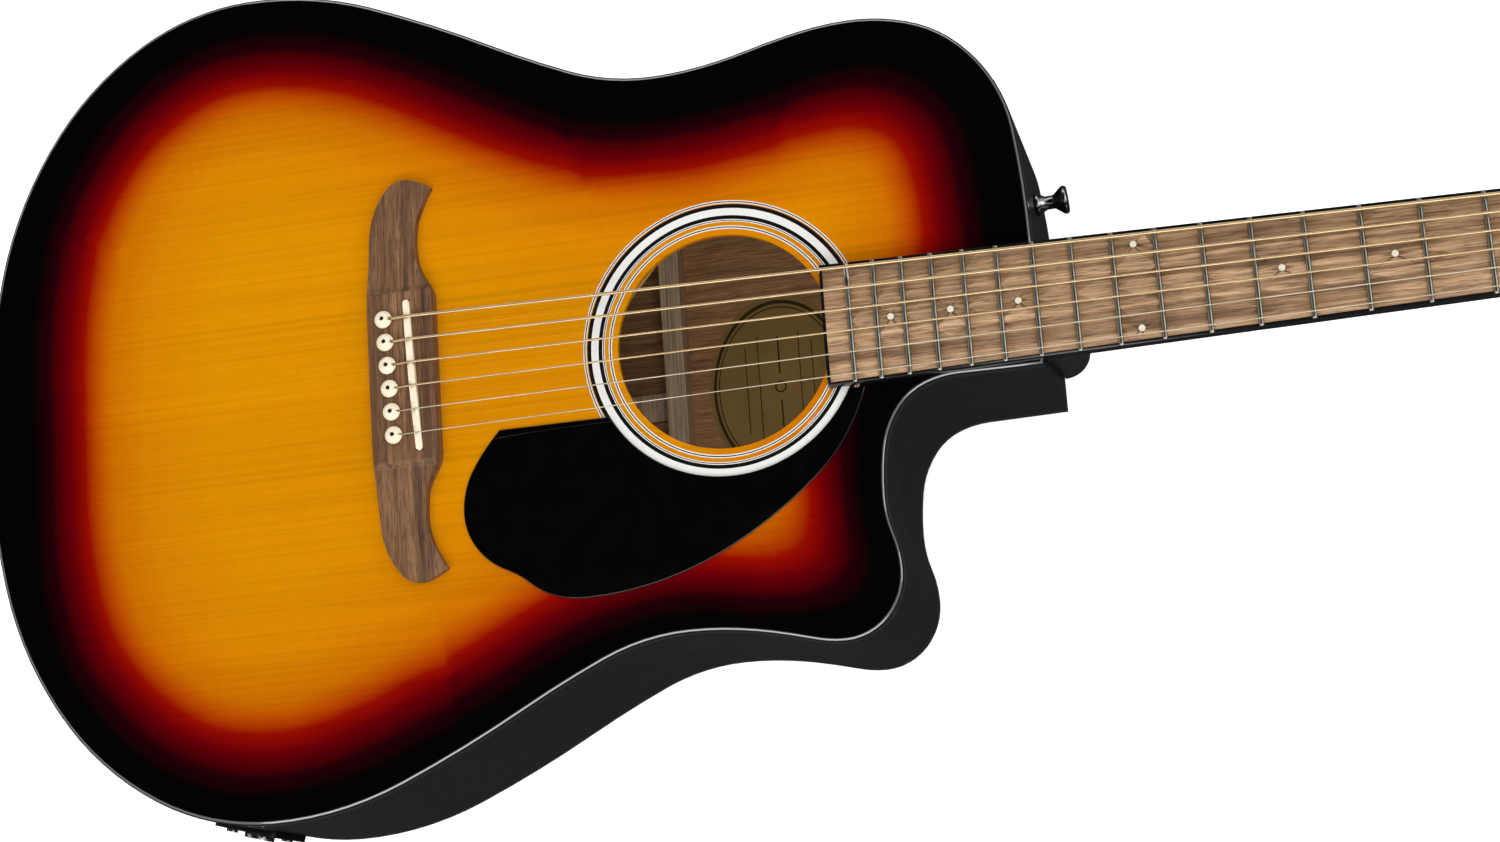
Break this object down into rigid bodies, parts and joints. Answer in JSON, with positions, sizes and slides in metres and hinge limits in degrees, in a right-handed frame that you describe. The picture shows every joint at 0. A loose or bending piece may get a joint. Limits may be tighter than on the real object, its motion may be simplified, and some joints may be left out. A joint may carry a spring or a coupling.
{
  "type": "acoustic guitar",
  "caption": "Steel-string acoustic guitar with a rounded cutaway, shaded top, pinned bridge, dark guard, geared tuners and a side-mounted preamp.",
  "frame": {"origin": "middle of the underside of the whole instrument's box, lying on its back", "axes": "+X along the strings from the bridge towards the headstock, +Y towards the bass side, +Z out of the soundboard"},
  "size_m": [1.0592, 0.4012, 0.1347],
  "materials": {
    "top_wood": "high gloss lacquer over a shaded sunburst",
    "side_wood": "satin dark lacquer",
    "back_wood": "satin dark lacquer",
    "mahogany": "bare sanded wood",
    "spruce": "bare sanded wood",
    "rosewood": "oiled",
    "fretboard_wood": "oiled",
    "neck_wood": "satin lacquer",
    "head_face": "gloss lacquer",
    "black_plastic": "polished",
    "white_plastic": "polished",
    "bone": "polished",
    "pearl": "polished",
    "paper": "uncoated",
    "strip_metal": "matt",
    "string_steel": "bright",
    "string_bronze": "bright",
    "fret_metal": "polished",
    "steel": "plain",
    "chrome_metal": "polished",
    "black_metal": "satin",
    "housing_plastic": "moulded",
    "knob_plastic": "moulded",
    "display_window": "clear over dark"
  },
  "bodies": {
    "guitar": {"soundboard": "top_wood", "rosette_black_rings": "black_plastic", "rosette_white_rings": "white_plastic", "bass_side": "side_wood", "treble_side": "side_wood", "body_bindings": "black_plastic", "back_plate": "back_wood", "neck_block": "mahogany", "tail_block": "mahogany", "linings": "spruce", "x_brace_rising": "spruce", "x_brace_falling": "spruce", "top_braces": "spruce", "bridge_plate": "rosewood", "back_braces": "spruce", "paper_label": "paper", "pickguard": "black_plastic", "bridge": "rosewood", "under_saddle_pickup": "strip_metal", "saddle": "bone", "plain_strings": "string_steel", "wound_strings": "string_bronze", "bridge_pins": "white_plastic", "fretboard": "fretboard_wood", "fretboard_binding": "black_plastic", "inlay_dots": "pearl", "frets": "fret_metal", "nut": "bone", "neck": "neck_wood", "heel_cap": "black_plastic", "neck_bolts": "steel", "headstock_veneer": "head_face", "truss_rod": "steel", "truss_rod_cover": "black_plastic", "tuner_housings": "chrome_metal", "tuner_bushings": "chrome_metal", "preamp_panel": "black_plastic", "tuner_display": "display_window", "preamp_housing": "housing_plastic", "jack_plate": "black_metal", "jack_socket": "chrome_metal", "strap_buttons": "chrome_metal", "small_screws": "chrome_metal"},
    "post_1": {"tuner_post_1": "chrome_metal"},
    "knob_1": {"tuner_knob_1": "chrome_metal"},
    "post_2": {"tuner_post_2": "chrome_metal"},
    "knob_2": {"tuner_knob_2": "chrome_metal"},
    "post_3": {"tuner_post_3": "chrome_metal"},
    "knob_3": {"tuner_knob_3": "chrome_metal"},
    "post_4": {"tuner_post_4": "chrome_metal"},
    "knob_4": {"tuner_knob_4": "chrome_metal"},
    "post_5": {"tuner_post_5": "chrome_metal"},
    "knob_5": {"tuner_knob_5": "chrome_metal"},
    "post_6": {"tuner_post_6": "chrome_metal"},
    "knob_6": {"tuner_knob_6": "chrome_metal"},
    "rod_nut": {"truss_rod_nut": "steel"},
    "control_1": {"preamp_knob_1": "knob_plastic"},
    "control_2": {"preamp_knob_2": "knob_plastic"},
    "control_3": {"preamp_knob_3": "knob_plastic"},
    "button": {"tuner_button": "knob_plastic"}
  },
  "joints": [
    {"name": "tuner_knob_1_turn", "type": "hinge", "parent": "guitar", "child": "knob_1", "pos_m": [0.39869, -0.02337, 0.09417], "axis": [0, -1, 0], "continuous": true},
    {"name": "tuner_post_1_turn", "type": "hinge", "parent": "guitar", "child": "post_1", "pos_m": [0.39518, -0.02337, 0.1154], "axis": [0.225, 0, 0.9744], "continuous": true},
    {"name": "tuner_knob_2_turn", "type": "hinge", "parent": "guitar", "child": "knob_2", "pos_m": [0.43572, -0.02337, 0.08562], "axis": [0, -1, 0], "continuous": true},
    {"name": "tuner_post_2_turn", "type": "hinge", "parent": "guitar", "child": "post_2", "pos_m": [0.43221, -0.02337, 0.10685], "axis": [0.225, 0, 0.9744], "continuous": true},
    {"name": "tuner_knob_3_turn", "type": "hinge", "parent": "guitar", "child": "knob_3", "pos_m": [0.47275, -0.02337, 0.07707], "axis": [0, -1, 0], "continuous": true},
    {"name": "tuner_post_3_turn", "type": "hinge", "parent": "guitar", "child": "post_3", "pos_m": [0.46923, -0.02337, 0.09831], "axis": [0.225, 0, 0.9744], "continuous": true},
    {"name": "tuner_knob_4_turn", "type": "hinge", "parent": "guitar", "child": "knob_4", "pos_m": [0.47275, 0.02563, 0.07707], "axis": [0, 1, 0], "continuous": true},
    {"name": "tuner_post_4_turn", "type": "hinge", "parent": "guitar", "child": "post_4", "pos_m": [0.46923, 0.02563, 0.09831], "axis": [0.225, 0, 0.9744], "continuous": true},
    {"name": "tuner_knob_5_turn", "type": "hinge", "parent": "guitar", "child": "knob_5", "pos_m": [0.43572, 0.02563, 0.08562], "axis": [0, 1, 0], "continuous": true},
    {"name": "tuner_post_5_turn", "type": "hinge", "parent": "guitar", "child": "post_5", "pos_m": [0.43221, 0.02563, 0.10685], "axis": [0.225, 0, 0.9744], "continuous": true},
    {"name": "tuner_knob_6_turn", "type": "hinge", "parent": "guitar", "child": "knob_6", "pos_m": [0.39869, 0.02563, 0.09417], "axis": [0, 1, 0], "continuous": true},
    {"name": "tuner_post_6_turn", "type": "hinge", "parent": "guitar", "child": "post_6", "pos_m": [0.39518, 0.02563, 0.1154], "axis": [0.225, 0, 0.9744], "continuous": true},
    {"name": "truss_rod_nut_turn", "type": "hinge", "parent": "guitar", "child": "rod_nut", "pos_m": [0.36211, 0.00113, 0.1164], "axis": [1, 0, 0], "range_deg": [-180, 180]},
    {"name": "preamp_knob_1_turn", "type": "hinge", "parent": "guitar", "child": "control_1", "pos_m": [-0.14457, 0.136, 0.0734], "axis": [-0.2448, 0.9696, 0], "range_deg": [-150, 150]},
    {"name": "preamp_knob_2_turn", "type": "hinge", "parent": "guitar", "child": "control_2", "pos_m": [-0.12809, 0.14016, 0.0734], "axis": [-0.2448, 0.9696, 0], "range_deg": [-150, 150]},
    {"name": "preamp_knob_3_turn", "type": "hinge", "parent": "guitar", "child": "control_3", "pos_m": [-0.11161, 0.14432, 0.0734], "axis": [-0.2448, 0.9696, 0], "range_deg": [-150, 150]},
    {"name": "tuner_button_press", "type": "slide", "parent": "guitar", "child": "button", "axis": [0.2448, -0.9696, 0], "range_m": [0, 0.0012], "stiffness_N_per_m": 300}
  ],
  "couplings": [
    {"joint": "tuner_post_1_turn", "follows": "tuner_knob_1_turn", "ratio": 0.066667},
    {"joint": "tuner_post_2_turn", "follows": "tuner_knob_2_turn", "ratio": 0.066667},
    {"joint": "tuner_post_3_turn", "follows": "tuner_knob_3_turn", "ratio": 0.066667},
    {"joint": "tuner_post_4_turn", "follows": "tuner_knob_4_turn", "ratio": 0.066667},
    {"joint": "tuner_post_5_turn", "follows": "tuner_knob_5_turn", "ratio": 0.066667},
    {"joint": "tuner_post_6_turn", "follows": "tuner_knob_6_turn", "ratio": 0.066667}
  ]
}
